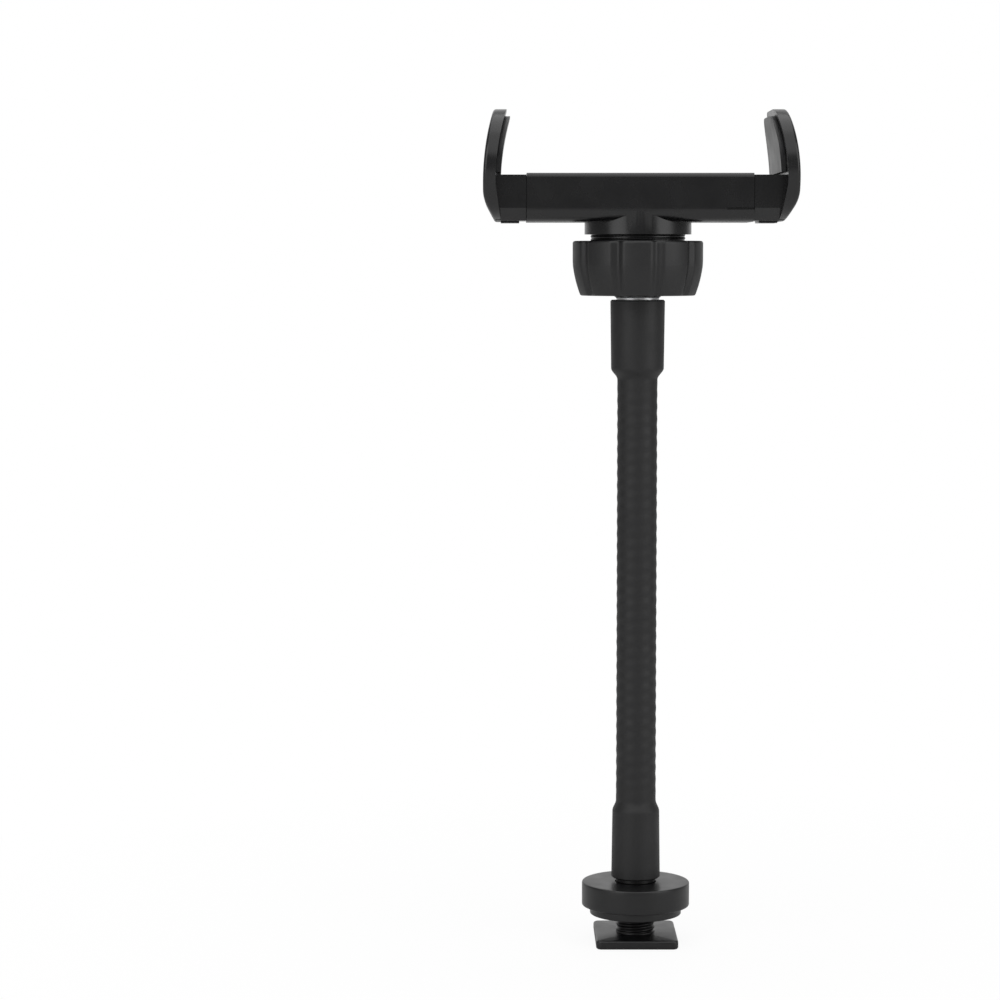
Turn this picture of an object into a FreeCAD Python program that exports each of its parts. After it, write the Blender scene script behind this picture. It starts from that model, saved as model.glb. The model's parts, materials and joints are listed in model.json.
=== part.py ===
import FreeCAD, Part
import math
import os

from FreeCAD import Vector

# Gooseneck phone holder: shoe foot with a lock wheel, flexible neck, ball head, sprung clamp.
# Millimetres, +Z up. The neck's axis is Z, z = 0 is the foot's underside, X runs across the
# clamp and -Y is the front. The right jaw is on +X, and the left jaw is the same moulding
# turned by half a turn about Z.

# Shoe foot
FOOT_WIDTH = 18.5
FOOT_LENGTH = 21.5
FOOT_THICKNESS = 2.0
FOOT_CORNER_RADIUS = 1.3
FOOT_EDGE_RADIUS = 0.5
BOSS_DIAMETER = 8.9
SPIGOT_DIAMETER = 6.2
SPIGOT_LENGTH = 8.0

# Lock wheel and the pressure washer under it
RAIL_SPACE = 4.2
WASHER_DIAMETER = 20.7
WASHER_THICKNESS = 1.8
WASHER_PLAY = 0.1
WHEEL_DIAMETER = 24.4
WHEEL_HEIGHT = 5.4
WHEEL_CHAMFER = 0.35
WHEEL_HEADROOM = 1.0
THREAD_CLEARANCE = 0.2

# Neck: wound core, end fittings and the sleeve shrunk over them
CORE_DIAMETER = 7.1
CORE_GRIP = 5.5
SLEEVE_WALL = 0.95
SLEEVE_FIT = 0.025
SLEEVE_LIP = 0.2
LOWER_FITTING_DIAMETER = 8.7
LOWER_FITTING_LENGTH = 15.2
LOWER_TAPER = 2.5
FLEX_LENGTH = 95.6
UPPER_TAPER = 2.5
UPPER_FITTING_DIAMETER = 9.9
UPPER_FITTING_LENGTH = 15.3
BORE_END_SPACE = 0.5

# Bending points of the neck: each seam is a pair of cones about its pivot
BEND_COUNT = 10
SWIVEL_MARGIN = 0.7
SWIVEL_CLEARANCE = 0.15

# Ball stud
BALL_DIAMETER = 17.0
BALL_RISE = 7.45
BALL_FLAT_DIAMETER = 7.0
BALL_NECK_DIAMETER = 9.6
SHANK_DIAMETER = 6.0
SHANK_LENGTH = 7.5
BALL_CLEARANCE = 0.15

# Friction pad between the ball and the socket, as polar angles about the ball's centre
SOCKET_PAD_THICKNESS = 1.5
SOCKET_PAD_INNER_ANGLE = 14.0
SOCKET_PAD_OUTER_ANGLE = 38.0

# Ball nut
NUT_DROP = 6.5
NUT_HEIGHT = 12.2
NUT_TOP_DIAMETER = 29.4
NUT_WAIST_DIAMETER = 28.4
NUT_BOTTOM_DIAMETER = 25.6
NUT_EDGE = 0.4
NUT_HOLE_DIAMETER = 15.4
NUT_RECESS_DIAMETER = 20.6
NUT_SEAT_ANGLE = 60.0
LOBE_COUNT = 10
LOBE_TURN = -3.0
GROOVE_RADIUS = 2.4
GROOVE_DEPTH = 0.9

# Threaded cup and pedestal of the rear shell
CUP_DIAMETER = 20.9
CUP_BORE_DIAMETER = 17.8
CUP_LIP_RISE = 1.4
CEILING_ANGLE = 30.0
PEDESTAL_RISE = 7.15
PEDESTAL_DIAMETER = 23.9

# Clamp housing
HOUSING_RISE = 9.85
HOUSING_LENGTH = 50.0
HOUSING_WIDTH = 24.0
HOUSING_DEPTH = 10.7
REAR_EDGE_RADIUS = 3.0
FRONT_EDGE_RADIUS = 1.0
PARTING_RISE = 3.1
SIDE_WALL = 1.3
REAR_WALL = 1.8
FRONT_WALL = 2.0
END_WALL = 1.5
PRY_SLOT_LENGTH = 6.0
PRY_SLOT_HEIGHT = 0.45
PRY_SLOT_DEPTH = 0.7

# Front pad and the screws under it
FRONT_PAD_END_MARGIN = 4.0
FRONT_PAD_SIDE_MARGIN = 3.0
FRONT_PAD_THICKNESS = 0.8
FRONT_PAD_CORNER = 2.0
FRONT_PAD_FIT = 0.1
SCREW_DIAMETER = 2.0
SCREW_HEAD_DIAMETER = 3.2
SCREW_HEAD_HEIGHT = 0.9
SCREW_BITE = 3.2
SCREW_FIT = 0.05
PILLAR_DIAMETER = 3.4
PILLAR_SINK = 0.4

# Jaws
JAW_TRAVEL = 14.0
JAW_GAP = 0.1
JAW_BLOCK_LENGTH = 6.8
JAW_BLOCK_INSET = 0.2
JAW_BLOCK_STEP = 0.4
JAW_BLOCK_FLOOR = 0.3
JAW_BLOCK_CHAMFER = 2.7
JAW_REACH = 9.5
JAW_LENGTH = 37.0
JAW_HEIGHT = 24.7
JAW_END_FLAT = 0.05
JAW_FOOT_RISE = 0.1
JAW_THICKNESS = 2.75
JAW_BOW_RADIUS = 60.0
JAW_BOW_RISE = 8.1
JAW_HEEL_RISE = 6.9
JAW_HEEL_RADIUS = 8.0
JAW_HEEL_ANGLE = 28.0
JAW_TOE_THICKNESS = 1.3
JAW_RIM_RADIUS = 0.8
TONGUE_THICKNESS = 2.1
TONGUE_CLEARANCE = 0.2
TONGUE_END = 2.2
TONGUE_RAIL = 1.2
TONGUE_RIB = 2.0
SILL_CLEARANCE = 0.3
TAB_LENGTH = 4.1
TAB_WIDTH = 10.0
TAB_INSET = 1.5
TAB_HEIGHT = 0.5
NUB_LENGTH = 1.6
NUB_HEIGHT = 1.2
NUB_RISE = 4.4
NUB_DEPTH = 0.35

# Rubber pads on the jaws
PAD_THICKNESS = 1.1
PAD_FIT = 0.05
PAD_WIDTH = 29.0
PAD_CORNER = 9.0
PAD_FOOT_SPACE = 0.1
PAD_TIP_SPACE = 1.5

# Jaw springs
SPRING_DIAMETER = 3.3
SPRING_SETBACK = 5.5
SPRING_LIFT = 2.2
SPRING_EYE_DIAMETER = 3.2
SPRING_EYE_THICKNESS = 0.7
SPRING_EYE_FIT = 0.1
PEG_DIAMETER = 2.0
PEG_REACH = 0.8
POST_SETBACK = 0.6
POST_CLEARANCE = 0.4

# Heights worked out from the sizes above, from the foot upwards
washer_bottom = FOOT_THICKNESS + RAIL_SPACE
wheel_bottom = washer_bottom + WASHER_THICKNESS + WASHER_PLAY
wheel_top = wheel_bottom + WHEEL_HEIGHT
neck_bottom = wheel_top + WHEEL_HEADROOM
lower_fitting_top = neck_bottom + LOWER_FITTING_LENGTH
flex_bottom = lower_fitting_top + LOWER_TAPER
flex_top = flex_bottom + FLEX_LENGTH
upper_fitting_bottom = flex_top + UPPER_TAPER
neck_top = upper_fitting_bottom + UPPER_FITTING_LENGTH
ball_height = neck_top + BALL_RISE
nut_bottom = ball_height - NUT_DROP
nut_top = nut_bottom + NUT_HEIGHT
pedestal_bottom = ball_height + PEDESTAL_RISE
housing_bottom = ball_height + HOUSING_RISE
housing_top = housing_bottom + HOUSING_DEPTH
parting = housing_bottom + PARTING_RISE
cavity_floor = housing_bottom + REAR_WALL
cavity_ceiling = housing_top - FRONT_WALL
pad_recess = housing_top - FRONT_PAD_THICKNESS

# Radii and widths worked out from the sizes above
core_radius = CORE_DIAMETER / 2
sleeve_bore = core_radius + SLEEVE_FIT
neck_radius = sleeve_bore + SLEEVE_WALL
lower_bore = LOWER_FITTING_DIAMETER / 2 + SLEEVE_FIT
lower_radius = lower_bore + SLEEVE_WALL
upper_bore = UPPER_FITTING_DIAMETER / 2 + SLEEVE_FIT
upper_radius = upper_bore + SLEEVE_WALL
swivel_radius = neck_radius + SWIVEL_MARGIN
swivel_outer = swivel_radius + SWIVEL_CLEARANCE
ball_radius = BALL_DIAMETER / 2
bend_pitch = FLEX_LENGTH / BEND_COUNT
pivots = [flex_bottom + bend_pitch * (index + 0.5) for index in range(BEND_COUNT)]
cavity_half_width = HOUSING_WIDTH / 2 - SIDE_WALL
cavity_half_length = HOUSING_LENGTH / 2 - END_WALL
front_pad_length = HOUSING_LENGTH - 2 * FRONT_PAD_END_MARGIN
front_pad_width = HOUSING_WIDTH - 2 * FRONT_PAD_SIDE_MARGIN
pillar_offset = cavity_half_width + PILLAR_SINK - PILLAR_DIAMETER / 2
jaw_root = HOUSING_LENGTH / 2 + JAW_GAP
jaw_outer = jaw_root + JAW_REACH
jaw_bottom = housing_bottom + JAW_FOOT_RISE
bow_height = jaw_bottom + JAW_BOW_RISE
bow_centre = jaw_outer - JAW_BOW_RADIUS
tongue_top = cavity_ceiling - TONGUE_CLEARANCE
tongue_bottom = tongue_top - TONGUE_THICKNESS
tongue_half_width = cavity_half_width - TONGUE_CLEARANCE
rail_bottom = parting + SILL_CLEARANCE
peg_place = cavity_half_length - PEG_DIAMETER / 2 - JAW_TRAVEL - JAW_GAP
post_place = cavity_half_length - PEG_DIAMETER / 2 - POST_SETBACK
spring_offset = cavity_half_width - SPRING_SETBACK
spring_height = cavity_floor + SPRING_LIFT


def profile(start, *steps):
    """Flat face in XZ. A step is an (x, z) point, or a pair of points for an arc through the first."""
    at = Vector(start[0], 0, start[1])
    edges = []
    for step in steps + (start,):
        is_arc = isinstance(step[0], tuple)
        end = Vector(step[1][0], 0, step[1][1]) if is_arc else Vector(step[0], 0, step[1])
        if is_arc:
            edges.append(Part.Arc(at, Vector(step[0][0], 0, step[0][1]), end).toShape())
        else:
            edges.append(Part.makeLine(at, end))
        at = end
    return Part.Face(Part.Wire(edges))


def turned(start, *steps):
    """Solid of revolution about the neck's axis, from an outline of (radius, height) steps."""
    return profile(start, *steps).revolve(Vector(0, 0, 0), Vector(0, 0, 1), 360)


def block(x_range, y_range, z_range):
    """Box between two limits on each axis."""
    low, high = zip(x_range, y_range, z_range)
    return Part.makeBox(*[b - a for a, b in zip(low, high)], Vector(*low))


def rod(diameter, bottom, top, x=0.0, y=0.0):
    """Upright cylinder between two heights."""
    return Part.makeCylinder(diameter / 2, top - bottom, Vector(x, y, bottom))


def span(half):
    """Limits of a length centred on zero."""
    return (-half, half)


def edges_along(shape, axis, place=lambda middle: True):
    """Straight edges of a shape along an axis whose middle point passes the test."""
    found = []
    for edge in shape.Edges:
        if len(edge.Vertexes) == 2:
            reach = edge.Vertexes[1].Point - edge.Vertexes[0].Point
            if reach.cross(axis).Length < 1e-6 and place(edge.CenterOfMass):
                found.append(edge)
    return found


def rounded_plate(length, width, bottom, top, corner):
    """Plate centred on the axis with rounded upright corners."""
    plate = block(span(length / 2), span(width / 2), (bottom, top))
    return plate.makeFillet(corner, edges_along(plate, Vector(0, 0, 1)))


def half_turn(shape):
    """Copy of a shape turned by half a turn about the neck's axis."""
    copy = shape.copy()
    copy.rotate(Vector(0, 0, 0), Vector(0, 0, 1), 180)
    return copy


def one_solid(shape):
    """The only solid of a boolean result, with its split faces joined."""
    solids = shape.removeSplitter().Solids
    if len(solids) != 1:
        raise ValueError("expected one solid, found %d" % len(solids))
    return solids[0]


def polar(radius, degrees):
    """Point (radius from the axis, height) at a polar angle from +Z about the ball's centre."""
    angle = math.radians(degrees)
    return (radius * math.sin(angle), ball_height + radius * math.cos(angle))


def tangent_point(radius, touch_degrees, degrees):
    """Point at a polar angle on the cone that touches a sphere about the ball at touch_degrees."""
    return polar(radius / math.cos(math.radians(degrees - touch_degrees)), degrees)


def shoe_foot():
    """Shoe plate with rounded edges, threaded boss for the wheel and spigot for the neck."""
    plate = rounded_plate(FOOT_WIDTH, FOOT_LENGTH, 0, FOOT_THICKNESS, FOOT_CORNER_RADIUS)
    rims = [edge for edge in plate.Edges if abs(edge.BoundBox.ZLength) < 1e-6]
    plate = plate.makeFillet(FOOT_EDGE_RADIUS, rims)
    boss = rod(BOSS_DIAMETER, FOOT_THICKNESS, neck_bottom)
    spigot = rod(SPIGOT_DIAMETER, neck_bottom, neck_bottom + SPIGOT_LENGTH)
    return one_solid(plate.fuse([boss, spigot]))


def pressure_washer():
    """Flat ring that the wheel presses on the shoe's rails."""
    bore = BOSS_DIAMETER / 2 + THREAD_CLEARANCE
    outer = WASHER_DIAMETER / 2
    top = washer_bottom + WASHER_THICKNESS
    return turned((bore, washer_bottom), (outer, washer_bottom), (outer, top), (bore, top))


def lock_wheel():
    """Smooth disc wheel with broken edges."""
    bore = BOSS_DIAMETER / 2 + THREAD_CLEARANCE
    outer = WHEEL_DIAMETER / 2
    return turned(
        (bore, wheel_bottom),
        (outer - WHEEL_CHAMFER, wheel_bottom),
        (outer, wheel_bottom + WHEEL_CHAMFER),
        (outer, wheel_top - WHEEL_CHAMFER),
        (outer - WHEEL_CHAMFER, wheel_top),
        (bore, wheel_top),
    )


def lower_fitting():
    """Turned ferrule seated on the boss, bored for the spigot below and the core above."""
    spigot_bore = rod(
        SPIGOT_DIAMETER + 2 * SLEEVE_FIT, neck_bottom, neck_bottom + SPIGOT_LENGTH + BORE_END_SPACE
    )
    core_bore = rod(2 * sleeve_bore, lower_fitting_top - CORE_GRIP, lower_fitting_top)
    body = rod(LOWER_FITTING_DIAMETER, neck_bottom, lower_fitting_top)
    return one_solid(body.cut([spigot_bore, core_bore]))


def upper_fitting():
    """Turned ferrule bored for the core below and the ball's shank above."""
    core_bore = rod(2 * sleeve_bore, upper_fitting_bottom, upper_fitting_bottom + CORE_GRIP)
    shank_bore = rod(
        SHANK_DIAMETER + 2 * SLEEVE_FIT, neck_top - SHANK_LENGTH - BORE_END_SPACE, neck_top
    )
    body = rod(UPPER_FITTING_DIAMETER, upper_fitting_bottom, neck_top)
    return one_solid(body.cut([core_bore, shank_bore]))


def seam_below(pivot):
    """Inner and outer edge of the cone that ends a sleeve span above its pivot.

    Both edges lie on the swivel sphere, so the cone between them stays inside it.
    """
    rise = [math.sqrt(swivel_radius ** 2 - radius ** 2) for radius in (sleeve_bore, neck_radius)]
    return (sleeve_bore, pivot + rise[0]), (neck_radius, pivot + rise[1])


def seam_above(pivot):
    """Inner and outer edge of the cone that starts the next sleeve span.

    The cone touches a slightly larger sphere at the middle of the wall and lies outside it.
    """
    touch = math.asin((sleeve_bore + neck_radius) / 2 / swivel_outer)
    apex = swivel_outer / math.cos(touch)
    inner, outer = [
        (radius, pivot + apex - radius * math.tan(touch)) for radius in (sleeve_bore, neck_radius)
    ]
    return inner, outer


def sleeve_base():
    """Sleeve over the lower fitting, its taper and the first span of the neck."""
    inner, outer = seam_below(pivots[0])
    return turned(
        (lower_bore, neck_bottom),
        (lower_radius + SLEEVE_LIP, neck_bottom),
        (lower_radius, lower_fitting_top),
        (neck_radius, flex_bottom),
        outer,
        inner,
        (sleeve_bore, lower_fitting_top),
        (lower_bore, lower_fitting_top),
    )


def sleeve_link(index):
    """Sleeve span between two bending points."""
    inner_low, outer_low = seam_above(pivots[index])
    inner_high, outer_high = seam_below(pivots[index + 1])
    return turned(inner_low, outer_low, outer_high, inner_high)


def sleeve_top():
    """Last span of the sleeve, its taper and the end over the upper fitting."""
    inner, outer = seam_above(pivots[-1])
    return turned(
        inner,
        outer,
        (neck_radius, flex_top),
        (upper_radius, upper_fitting_bottom),
        (upper_radius + SLEEVE_LIP, neck_top),
        (upper_bore, neck_top),
        (upper_bore, upper_fitting_bottom),
        (sleeve_bore, upper_fitting_bottom),
    )


def core_span(index):
    """Length of the wound core carried by a sleeve span, short of the bending points."""
    top_rise = math.sqrt(swivel_radius ** 2 - core_radius ** 2)
    bottom = pivots[index - 1] + swivel_outer if index > 0 else lower_fitting_top - CORE_GRIP
    top = pivots[index] + top_rise if index < BEND_COUNT else upper_fitting_bottom + CORE_GRIP
    return rod(CORE_DIAMETER, bottom, top)


def ball_stud():
    """Ball with a turned flat on its pole, a neck that seats on the fitting, and a shank."""
    low = -math.degrees(math.acos(BALL_NECK_DIAMETER / BALL_DIAMETER))
    high = math.degrees(math.acos(BALL_FLAT_DIAMETER / BALL_DIAMETER))
    centre = Vector(0, 0, ball_height)
    ball = Part.makeSphere(ball_radius, centre, Vector(0, 0, 1), low, high)
    ball_foot = ball_height + ball_radius * math.sin(math.radians(low))
    neck = rod(BALL_NECK_DIAMETER, neck_top, ball_foot)
    shank = rod(SHANK_DIAMETER, neck_top - SHANK_LENGTH, neck_top)
    return one_solid(ball.fuse([neck, shank]))


def socket_pad():
    """Friction ring on top of the ball: a cone that touches its sphere, and a chord above."""
    seat = ball_radius + BALL_CLEARANCE
    crown = seat + SOCKET_PAD_THICKNESS
    touch = (SOCKET_PAD_INNER_ANGLE + SOCKET_PAD_OUTER_ANGLE) / 2
    return turned(
        tangent_point(seat, touch, SOCKET_PAD_INNER_ANGLE),
        tangent_point(seat, touch, SOCKET_PAD_OUTER_ANGLE),
        polar(crown, SOCKET_PAD_OUTER_ANGLE),
        polar(crown, SOCKET_PAD_INNER_ANGLE),
    )


def ball_nut():
    """Lobed nut: barrel flank, grip grooves, conical lip under the ball, recess and thread."""
    thread = CUP_DIAMETER / 2 + THREAD_CLEARANCE
    seat = ball_radius + BALL_CLEARANCE
    slope = math.tan(math.radians(NUT_SEAT_ANGLE))
    hole = NUT_HOLE_DIAMETER / 2
    touch = polar(seat, 180 - NUT_SEAT_ANGLE)
    hole_edge = (hole, touch[1] + (hole - touch[0]) * slope)
    thread_edge = (thread, touch[1] + (thread - touch[0]) * slope)
    top = NUT_TOP_DIAMETER / 2
    bottom = NUT_BOTTOM_DIAMETER / 2
    waist = (NUT_WAIST_DIAMETER / 2, nut_bottom + NUT_HEIGHT / 2)
    nut = turned(
        (thread, nut_top),
        thread_edge,
        hole_edge,
        (NUT_RECESS_DIAMETER / 2, nut_bottom),
        (bottom, nut_bottom),
        (waist, (top, nut_top - NUT_EDGE)),
        (top - NUT_EDGE, nut_top),
    )
    shift = GROOVE_RADIUS - GROOVE_DEPTH
    foot = Vector(0, -bottom - shift, nut_bottom)
    head = Vector(0, -top - shift, nut_top)
    rise = head - foot
    groove = Part.makeCylinder(GROOVE_RADIUS, 3 * rise.Length, foot - rise, rise)
    grooves = []
    for index in range(LOBE_COUNT):
        cutter = groove.copy()
        cutter.rotate(Vector(0, 0, 0), Vector(0, 0, 1), 360 / LOBE_COUNT * (index + 0.5) + LOBE_TURN)
        grooves.append(cutter)
    return one_solid(nut.cut(grooves))


def housing_blank():
    """Outer form of the closed housing."""
    blank = block(
        span(HOUSING_LENGTH / 2), span(HOUSING_WIDTH / 2), (housing_bottom, housing_top)
    )
    middle = (housing_bottom + housing_top) / 2
    along = Vector(1, 0, 0)
    blank = blank.makeFillet(REAR_EDGE_RADIUS, edges_along(blank, along, lambda at: at.z < middle))
    return blank.makeFillet(FRONT_EDGE_RADIUS, edges_along(blank, along, lambda at: at.z > middle))


def screw_places():
    """Places of the two shell screws, against the side walls."""
    return [(0.0, pillar_offset), (0.0, -pillar_offset)]


def socket_space():
    """Space for the ball and its pad in the cup: a bore, a conical ceiling and a flat top."""
    clear = ball_radius + BALL_CLEARANCE + SOCKET_PAD_THICKNESS + BALL_CLEARANCE
    slope = math.tan(math.radians(CEILING_ANGLE))
    touch = polar(clear, CEILING_ANGLE)
    bore = CUP_BORE_DIAMETER / 2
    ceiling = ball_height + clear
    return turned(
        (0, ball_height),
        (bore, ball_height),
        (bore, touch[1] - (bore - touch[0]) * slope),
        (touch[0] - (ceiling - touch[1]) / slope, ceiling),
        (0, ceiling),
    )


def rear_shell():
    """Tray of the housing with the pedestal, the threaded cup, spring posts and pillars."""
    everywhere = span(HOUSING_LENGTH)
    tray = housing_blank().common(block(everywhere, everywhere, (housing_bottom, parting)))
    pedestal = rod(PEDESTAL_DIAMETER, pedestal_bottom, housing_bottom + REAR_EDGE_RADIUS)
    cup = rod(CUP_DIAMETER, ball_height + CUP_LIP_RISE, pedestal_bottom)
    cavity = block(span(cavity_half_length), span(cavity_half_width), (cavity_floor, parting))
    shell = tray.fuse([pedestal, cup]).cut([cavity, socket_space()])
    post_top = tongue_bottom - POST_CLEARANCE
    post = rod(PEG_DIAMETER, cavity_floor, post_top, -post_place, spring_offset)
    pillars = [rod(PILLAR_DIAMETER, cavity_floor, parting, *at) for at in screw_places()]
    shell = shell.fuse([post, half_turn(post)] + pillars)
    hole = SCREW_DIAMETER + SCREW_FIT
    holes = [rod(hole, parting - SCREW_BITE, parting, *at) for at in screw_places()]
    slot = block(
        (HOUSING_LENGTH / 2 - PRY_SLOT_LENGTH, HOUSING_LENGTH / 2),
        (-HOUSING_WIDTH / 2, PRY_SLOT_DEPTH - HOUSING_WIDTH / 2),
        (parting - PRY_SLOT_HEIGHT, parting),
    )
    return one_solid(shell.cut(holes + [slot, half_turn(slot)]))


def front_shell():
    """Channel over the jaw tongues, with screw pillars and the recess of the front pad."""
    everywhere = span(HOUSING_LENGTH)
    cover = housing_blank().common(block(everywhere, everywhere, (parting, housing_top)))
    channel = block(everywhere, span(cavity_half_width), (parting, cavity_ceiling))
    recess = rounded_plate(
        front_pad_length, front_pad_width, pad_recess, housing_top, FRONT_PAD_CORNER
    )
    pillars = [rod(PILLAR_DIAMETER, parting, cavity_ceiling, *at) for at in screw_places()]
    hole = SCREW_DIAMETER + SCREW_FIT
    head = SCREW_HEAD_DIAMETER + SCREW_FIT
    cuts = [recess]
    for at in screw_places():
        cuts.append(rod(hole, parting, pad_recess, *at))
        cuts.append(rod(head, pad_recess - SCREW_HEAD_HEIGHT, pad_recess, *at))
    return one_solid(cover.cut(channel).fuse(pillars).cut(cuts))


def shell_screws():
    """Two flat-headed screws, driven from the front under the pad."""
    screws = []
    for at in screw_places():
        head = rod(SCREW_HEAD_DIAMETER, pad_recess - SCREW_HEAD_HEIGHT, pad_recess, *at)
        shank_end = parting - SCREW_BITE
        shank = rod(SCREW_DIAMETER, shank_end, pad_recess - SCREW_HEAD_HEIGHT, *at)
        screws.append(one_solid(head.fuse(shank)))
    return Part.makeCompound(screws)


def front_pad():
    """Thin rubber pad set flush in the front face."""
    return rounded_plate(
        front_pad_length - 2 * FRONT_PAD_FIT,
        front_pad_width - 2 * FRONT_PAD_FIT,
        pad_recess,
        housing_top,
        FRONT_PAD_CORNER,
    )


def bow_x(depth, height):
    """Distance from the axis to the bowed face that lies depth inside the jaw's outer face."""
    return bow_centre + math.sqrt((JAW_BOW_RADIUS - depth) ** 2 - (height - bow_height) ** 2)


def bow_arc(depth, start, end):
    """Arc step along a bowed face between two heights."""
    middle = (start + end) / 2
    return ((bow_x(depth, middle), middle), (bow_x(depth, end), end))


def jaw_plate():
    """Bowed plate: its side view along Y, cut to a long round outline, with a rounded outer rim."""
    top = jaw_bottom + JAW_HEIGHT
    side = profile(
        (jaw_toe() - JAW_TOE_THICKNESS, jaw_bottom),
        (jaw_toe(), jaw_bottom),
        jaw_heel(JAW_HEEL_ANGLE),
        (jaw_heel(JAW_HEEL_ANGLE / 2), jaw_heel(0)),
        (jaw_outer, bow_height),
        bow_arc(0, bow_height, top),
        (bow_x(JAW_THICKNESS, top), top),
        bow_arc(JAW_THICKNESS, top, bow_height),
    )
    plate = side.extrude(Vector(0, JAW_LENGTH, 0))
    plate.translate(Vector(0, -JAW_LENGTH / 2, 0))
    outline = block((0, 2 * jaw_outer), span(JAW_LENGTH / 2), (jaw_bottom, top))
    corners = edges_along(outline, Vector(1, 0, 0))
    outline = outline.makeFillet((JAW_HEIGHT - JAW_END_FLAT) / 2, corners)
    plate = plate.common(outline)
    return plate.makeFillet(JAW_RIM_RADIUS, outer_rim(plate))


def outer_rim(plate):
    """Edges of the jaw plate where its outline meets the outer face."""
    box = plate.BoundBox
    rim = []
    for edge in plate.Edges:
        at = edge.valueAt((edge.FirstParameter + edge.LastParameter) / 2)
        on_end = min(abs(at.z - box.ZMin), abs(at.z - box.ZMax)) < 1e-6
        is_crease = len(edges_along(edge, Vector(0, 1, 0))) > 0 and not on_end
        wall_middle = jaw_wall_middle(at.z)
        if at.x > wall_middle and not is_crease:
            rim.append(edge)
    return rim


def jaw_wall_middle(height):
    """Distance from the axis to the middle of the jaw plate's wall at a height."""
    if height > bow_height:
        return bow_x(JAW_THICKNESS / 2, height)
    share = (bow_height - height) / JAW_BOW_RISE
    toe_middle = jaw_toe() - JAW_TOE_THICKNESS / 2
    return (1 - share) * bow_x(JAW_THICKNESS / 2, bow_height) + share * toe_middle


def jaw_heel(degrees):
    """Point on the heel's arc, at an angle below its level point."""
    angle = math.radians(degrees)
    return (
        jaw_outer - JAW_HEEL_RADIUS * (1 - math.cos(angle)),
        jaw_bottom + JAW_HEEL_RISE - JAW_HEEL_RADIUS * math.sin(angle),
    )


def jaw_toe():
    """Distance from the axis to the outer edge of the jaw's underside, down the heel's slope."""
    heel_x, heel_z = jaw_heel(JAW_HEEL_ANGLE)
    return heel_x - (heel_z - jaw_bottom) * math.tan(math.radians(JAW_HEEL_ANGLE))


def jaw_right():
    """Jaw moulding: bowed plate, chamfered block, and the ribbed tongue with its spring peg."""
    half_width = HOUSING_WIDTH / 2 - JAW_BLOCK_INSET
    floor = housing_bottom + JAW_BLOCK_FLOOR
    body = block(
        (jaw_root, jaw_root + JAW_BLOCK_LENGTH), span(half_width), (floor, housing_top - JAW_BLOCK_STEP)
    )
    lower = edges_along(body, Vector(1, 0, 0), lambda at: at.z < parting)
    body = body.makeChamfer(JAW_BLOCK_CHAMFER, lower)
    along = (TONGUE_END, jaw_root + END_WALL)
    pieces = [
        jaw_plate(),
        block(along, span(tongue_half_width), (tongue_bottom, tongue_top)),
        block(along, (tongue_half_width - TONGUE_RAIL, tongue_half_width), (rail_bottom, tongue_top)),
        block(along, (-tongue_half_width, TONGUE_RAIL - tongue_half_width), (rail_bottom, tongue_top)),
        block(along, span(TONGUE_RIB / 2), (rail_bottom, tongue_top)),
        rod(PEG_DIAMETER, parting - PEG_REACH, tongue_top, peg_place, spring_offset),
        block(
            (jaw_root + TAB_INSET, jaw_root + TAB_INSET + TAB_LENGTH),
            span(TAB_WIDTH / 2),
            (floor - TAB_HEIGHT, parting),
        ),
        block(
            (jaw_root, jaw_root + NUB_LENGTH),
            (0, half_width + NUB_DEPTH),
            (floor + NUB_RISE, floor + NUB_RISE + NUB_HEIGHT),
        ),
    ]
    return one_solid(body.fuse(pieces))


def jaw_pad_right():
    """Rubber pad on the jaw's bowed inner face, with rounded corners."""
    low = housing_top + PAD_FOOT_SPACE
    high = jaw_bottom + JAW_HEIGHT - PAD_TIP_SPACE
    seat = JAW_THICKNESS + PAD_FIT
    face = seat + PAD_THICKNESS
    side = profile(
        (bow_x(seat, low), low),
        bow_arc(seat, low, high),
        (bow_x(face, high), high),
        bow_arc(face, high, low),
    )
    pad = side.extrude(Vector(0, PAD_WIDTH, 0))
    pad.translate(Vector(0, -PAD_WIDTH / 2, 0))
    outline = block((0, jaw_outer), span(PAD_WIDTH / 2), (low, high))
    upper = edges_along(outline, Vector(1, 0, 0), lambda at: at.z > (low + high) / 2)
    return one_solid(pad.common(outline.makeFillet(PAD_CORNER, upper)))


def spring_right():
    """Close-wound tension spring from a post of the rear shell to the peg of the right jaw."""
    eye = SPRING_EYE_DIAMETER / 2
    low = spring_height - SPRING_EYE_THICKNESS / 2
    high = spring_height + SPRING_EYE_THICKNESS / 2
    coil = Part.makeCylinder(
        SPRING_DIAMETER / 2,
        post_place + peg_place - 2 * SPRING_EYE_DIAMETER,
        Vector(SPRING_EYE_DIAMETER - post_place, spring_offset, spring_height),
        Vector(1, 0, 0),
    )
    wire = (spring_offset - SPRING_EYE_THICKNESS / 2, spring_offset + SPRING_EYE_THICKNESS / 2)
    inside = PEG_DIAMETER / 2 + SPRING_EYE_FIT
    pieces = []
    holes = []
    for place in (-post_place, peg_place):
        pieces.append(rod(SPRING_EYE_DIAMETER, low, high, place, spring_offset))
        holes.append(rod(2 * inside, low, high, place, spring_offset))
    tails = block((inside - post_place, peg_place - inside), wire, (low, high))
    return one_solid(coil.fuse(pieces + [tails]).cut(holes))


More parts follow.
